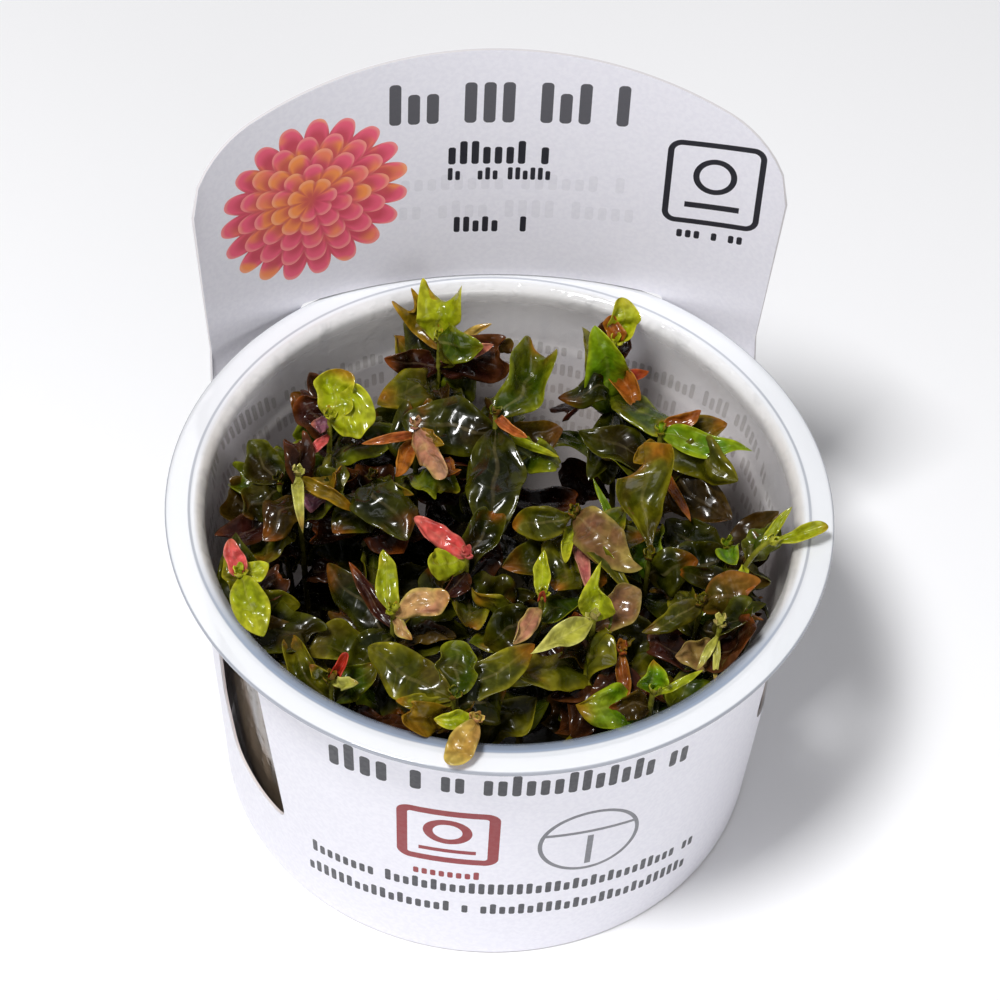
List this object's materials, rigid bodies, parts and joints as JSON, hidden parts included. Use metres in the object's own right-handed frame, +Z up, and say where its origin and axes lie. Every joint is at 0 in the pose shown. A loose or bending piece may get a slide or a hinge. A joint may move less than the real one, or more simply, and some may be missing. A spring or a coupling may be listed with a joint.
{
  "type": "potted aquarium plant",
  "caption": "Rotala shoots with lime, olive and red-brown leaves in a clear flanged culture cup, wrapped in a white card sleeve with an arched back panel.",
  "frame": {"origin": "centre of the cup's base, on its underside", "axes": "+Z up through the mouth of the cup; +Y towards the card panel at the back; +X to the right seen from the front"},
  "size_m": [0.1, 0.1001, 0.1046],
  "materials": {
    "clear_plastic": "clear",
    "white_card": "satin",
    "culture_gel": "gloss",
    "leaf_green": "gloss",
    "leaf_olive": "gloss",
    "leaf_lime": "gloss",
    "leaf_brown": "gloss"
  },
  "bodies": {
    "root": {"cup": "clear_plastic", "card_sleeve": "white_card", "culture_gel": "culture_gel", "shoot_back_left": "leaf_olive", "shoot_back_middle": "leaf_green", "shoot_back_right": "leaf_green", "shoot_right_back": "leaf_olive", "shoot_pitcher": "leaf_olive", "shoot_middle": "leaf_brown", "shoot_beak": "leaf_lime", "shoot_middle_thin": "leaf_olive", "shoot_centre_left": "leaf_olive", "shoot_left_lime": "leaf_lime", "shoot_pink_fold": "leaf_brown", "shoot_dark_big": "leaf_green", "shoot_left_curl": "leaf_brown", "shoot_left_dark": "leaf_green", "shoot_left_front": "leaf_lime", "shoot_vee": "leaf_lime", "shoot_front_buds": "leaf_brown", "shoot_front_rosette": "leaf_green", "shoot_over_front": "leaf_lime", "shoot_saddle": "leaf_brown", "shoot_over_right": "leaf_lime", "shoot_cut_stem": "leaf_lime", "shoot_front_right": "leaf_green", "shoot_front_brown": "leaf_brown", "shoot_right_glass": "leaf_green", "shoot_left_back": "leaf_brown"}
  },
  "joints": []
}
